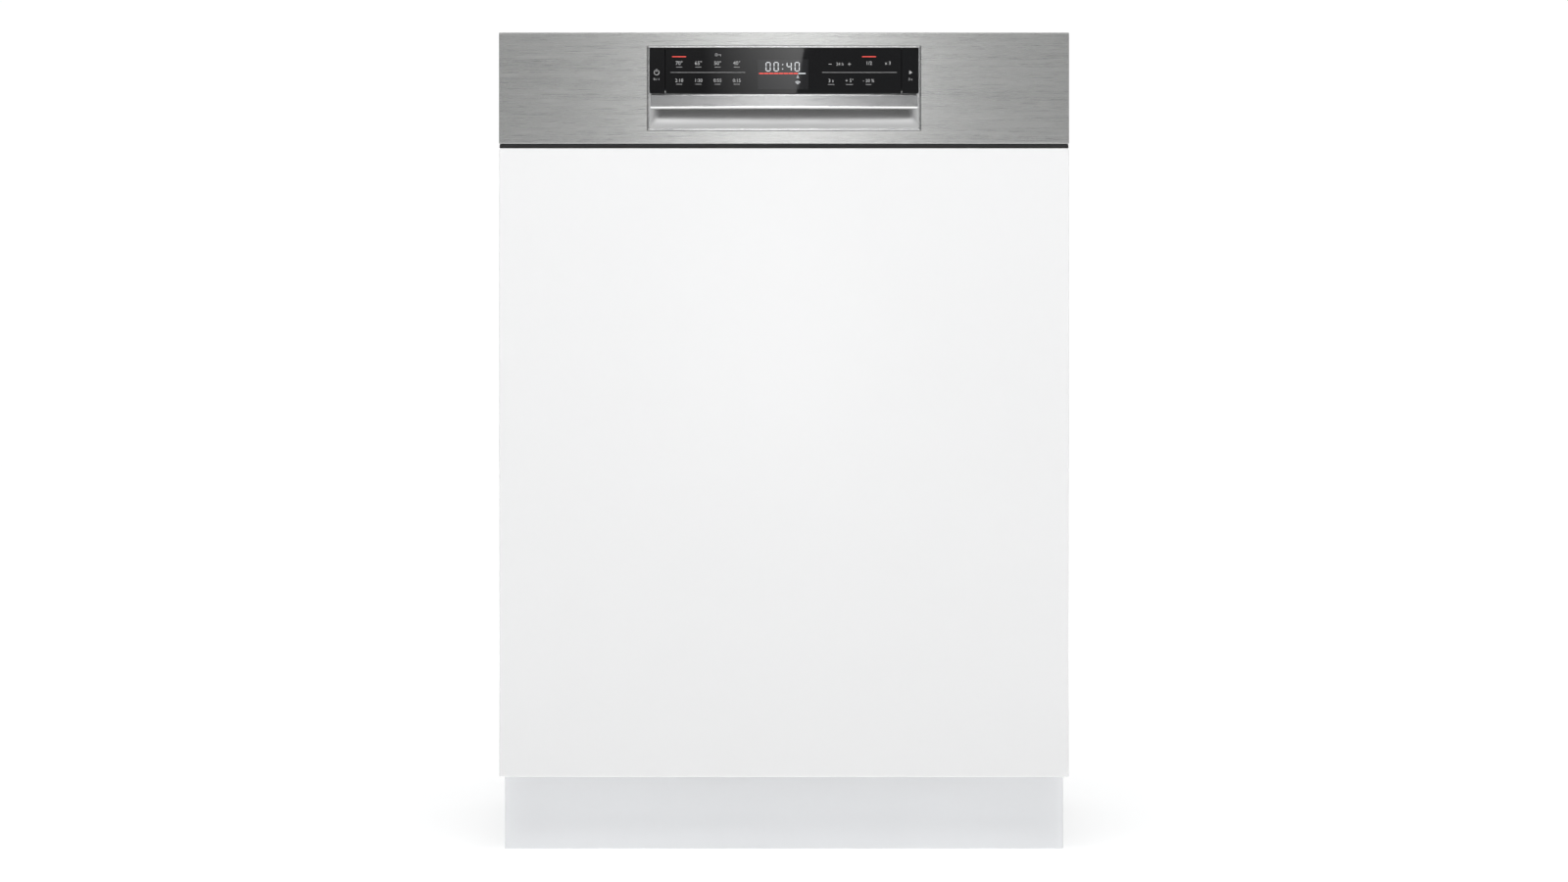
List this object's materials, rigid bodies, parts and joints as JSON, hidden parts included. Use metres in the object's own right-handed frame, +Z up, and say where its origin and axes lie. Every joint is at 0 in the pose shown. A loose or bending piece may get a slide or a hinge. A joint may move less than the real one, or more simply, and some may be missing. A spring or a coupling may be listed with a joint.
{
  "type": "built in dishwasher",
  "caption": "Semi-integrated dishwasher with steel control fascia, recessed grip, white front panel, plinth, tub, racks, spray arms and a drop-down door.",
  "frame": {"origin": "on the floor under the centre of the appliance's bounding box", "axes": "+X to the right seen from the front, +Y towards the rear wall, +Z up; the door faces -Y"},
  "size_m": [0.598, 0.573, 0.868],
  "materials": {
    "brushed_steel": "horizontal fine brush",
    "stainless": "bright rolled stainless sheet",
    "galvanised": "zinc coated sheet",
    "chrome": "satin chrome",
    "black_glass": "high gloss black",
    "black_plastic": "moulded, fine grain",
    "grey_plastic": "moulded polypropylene",
    "silver_plastic": "silver lacquer on plastic",
    "white_plastic": "moulded",
    "white_lacquer": "smooth satin lacquer on board",
    "plinth_lacquer": "satin lacquer on board",
    "rack_coating": "nylon coated wire",
    "rubber": "matt",
    "board_green": "solder mask"
  },
  "bodies": {
    "cabinet": {"base_tray": "black_plastic", "plinth_panel": "plinth_lacquer", "side_panel_left": "galvanised", "side_panel_right": "galvanised", "rear_panel": "galvanised", "front_top_rail": "galvanised", "tub": "stainless", "tub_gasket": "rubber", "sump": "grey_plastic", "filter_plate": "stainless", "circulation_pump": "black_plastic", "drain_pump": "white_plastic", "water_softener": "white_plastic", "inlet_valve": "white_plastic", "drain_outlet": "grey_plastic", "mains_inlet": "black_plastic", "riser_pipe": "grey_plastic", "runner_guide_left": "grey_plastic", "runner_guide_right": "grey_plastic", "drawer_rail_left": "stainless", "drawer_rail_right": "stainless", "hinge_bracket_left": "galvanised", "hinge_bracket_right": "galvanised", "door_spring_left": "galvanised", "door_spring_right": "galvanised", "lower_rack": "rack_coating"},
    "door": {"front_panel": "white_lacquer", "trim_strip": "rubber", "door_outer_sheet": "galvanised", "door_liner": "stainless", "dispenser": "grey_plastic", "fascia": "brushed_steel", "fascia_housing": "black_plastic", "door_lock": "black_plastic", "handle_pocket": "silver_plastic", "grip_bar": "chrome", "control_window": "black_glass", "control_board": "board_green", "hinge_arm_left": "galvanised", "hinge_arm_right": "galvanised"},
    "front_foot_left": {"front_foot_left": "black_plastic"},
    "front_foot_right": {"front_foot_right": "black_plastic"},
    "rear_foot": {"rear_foot": "black_plastic"},
    "filter_cylinder": {"filter_cylinder": "grey_plastic"},
    "salt_cap": {"salt_cap": "white_plastic"},
    "lower_spray_arm": {"lower_spray_arm": "grey_plastic"},
    "top_spray_arm": {"top_spray_arm": "grey_plastic"},
    "upper_rack": {"upper_rack": "rack_coating"},
    "upper_spray_arm": {"upper_spray_arm": "grey_plastic"},
    "cutlery_drawer": {"cutlery_drawer": "rack_coating"},
    "lower_rack_wheel_front_left": {"lower_rack_wheel_front_left": "grey_plastic"},
    "lower_rack_wheel_front_right": {"lower_rack_wheel_front_right": "grey_plastic"},
    "lower_rack_wheel_rear_left": {"lower_rack_wheel_rear_left": "grey_plastic"},
    "lower_rack_wheel_rear_right": {"lower_rack_wheel_rear_right": "grey_plastic"},
    "fold_tine_row_left": {"fold_tine_row_left": "rack_coating"},
    "fold_tine_row_right": {"fold_tine_row_right": "rack_coating"},
    "dispenser_lid": {"dispenser_lid": "grey_plastic"},
    "rinse_aid_cap": {"rinse_aid_cap": "grey_plastic"},
    "power_button": {"power_button": "black_glass"},
    "start_button": {"start_button": "black_glass"}
  },
  "joints": [
    {"name": "door_hinge", "type": "hinge", "parent": "cabinet", "child": "door", "pos_m": [0, -0.25, 0.161], "axis": [1, 0, 0], "range_deg": [0, 90], "stiffness_Nm_per_rad": 26},
    {"name": "front_foot_left_screw", "type": "slide", "parent": "cabinet", "child": "front_foot_left", "axis": [0, 0, 1], "range_m": [-0.007, 0.053]},
    {"name": "front_foot_right_screw", "type": "slide", "parent": "cabinet", "child": "front_foot_right", "axis": [0, 0, 1], "range_m": [-0.007, 0.053]},
    {"name": "rear_foot_screw", "type": "slide", "parent": "cabinet", "child": "rear_foot", "axis": [0, 0, 1], "range_m": [-0.007, 0.053]},
    {"name": "filter_twist", "type": "hinge", "parent": "cabinet", "child": "filter_cylinder", "pos_m": [0, -0.02, 0.17], "axis": [0, 0, 1], "range_deg": [-90, 0]},
    {"name": "salt_cap_twist", "type": "hinge", "parent": "cabinet", "child": "salt_cap", "pos_m": [-0.186, -0.122, 0.17], "axis": [0, 0, 1], "range_deg": [0, 180]},
    {"name": "lower_arm_spin", "type": "hinge", "parent": "cabinet", "child": "lower_spray_arm", "pos_m": [0, 0.042, 0.187], "axis": [0, 0, 1], "continuous": true},
    {"name": "top_arm_spin", "type": "hinge", "parent": "cabinet", "child": "top_spray_arm", "pos_m": [0, 0.042, 0.818], "axis": [0, 0, 1], "continuous": true},
    {"name": "upper_rack_slide", "type": "slide", "parent": "cabinet", "child": "upper_rack", "axis": [0, -1, 0], "range_m": [0, 0.4]},
    {"name": "upper_arm_spin", "type": "hinge", "parent": "upper_rack", "child": "upper_spray_arm", "pos_m": [0, 0.042, 0.53], "axis": [0, 0, 1], "continuous": true},
    {"name": "cutlery_drawer_slide", "type": "slide", "parent": "cabinet", "child": "cutlery_drawer", "axis": [0, -1, 0], "range_m": [0, 0.4]},
    {"name": "wheel_front_left_spin", "type": "hinge", "parent": "cabinet", "child": "lower_rack_wheel_front_left", "pos_m": [-0.2605, -0.141, 0.2063], "axis": [1, 0, 0], "continuous": true},
    {"name": "wheel_front_right_spin", "type": "hinge", "parent": "cabinet", "child": "lower_rack_wheel_front_right", "pos_m": [0.2605, -0.141, 0.2063], "axis": [1, 0, 0], "continuous": true},
    {"name": "wheel_rear_left_spin", "type": "hinge", "parent": "cabinet", "child": "lower_rack_wheel_rear_left", "pos_m": [-0.2605, 0.172, 0.2063], "axis": [1, 0, 0], "continuous": true},
    {"name": "wheel_rear_right_spin", "type": "hinge", "parent": "cabinet", "child": "lower_rack_wheel_rear_right", "pos_m": [0.2605, 0.172, 0.2063], "axis": [1, 0, 0], "continuous": true},
    {"name": "fold_tines_left", "type": "hinge", "parent": "cabinet", "child": "fold_tine_row_left", "pos_m": [-0.05456, 0.0135, 0.2219], "axis": [0, 1, 0], "range_deg": [-90, 0]},
    {"name": "fold_tines_right", "type": "hinge", "parent": "cabinet", "child": "fold_tine_row_right", "pos_m": [0.0496, 0.0135, 0.2219], "axis": [0, 1, 0], "range_deg": [0, 90]},
    {"name": "dispenser_lid_slide", "type": "slide", "parent": "door", "child": "dispenser_lid", "axis": [0, 0, 1], "range_m": [0, 0.062]},
    {"name": "rinse_aid_cap_hinge", "type": "hinge", "parent": "door", "child": "rinse_aid_cap", "pos_m": [0.046, -0.2157, 0.436], "axis": [1, 0, 0], "range_deg": [-90, 0]},
    {"name": "power_button_press", "type": "slide", "parent": "door", "child": "power_button", "axis": [0, 1, 0], "range_m": [0, 0.0015], "stiffness_N_per_m": 600},
    {"name": "start_button_press", "type": "slide", "parent": "door", "child": "start_button", "axis": [0, 1, 0], "range_m": [0, 0.0015], "stiffness_N_per_m": 600}
  ],
  "couplings": [
    {"joint": "upper_rack_slide", "follows": "door_hinge", "m_per_rad": 0.25},
    {"joint": "cutlery_drawer_slide", "follows": "door_hinge", "m_per_rad": 0.25}
  ]
}
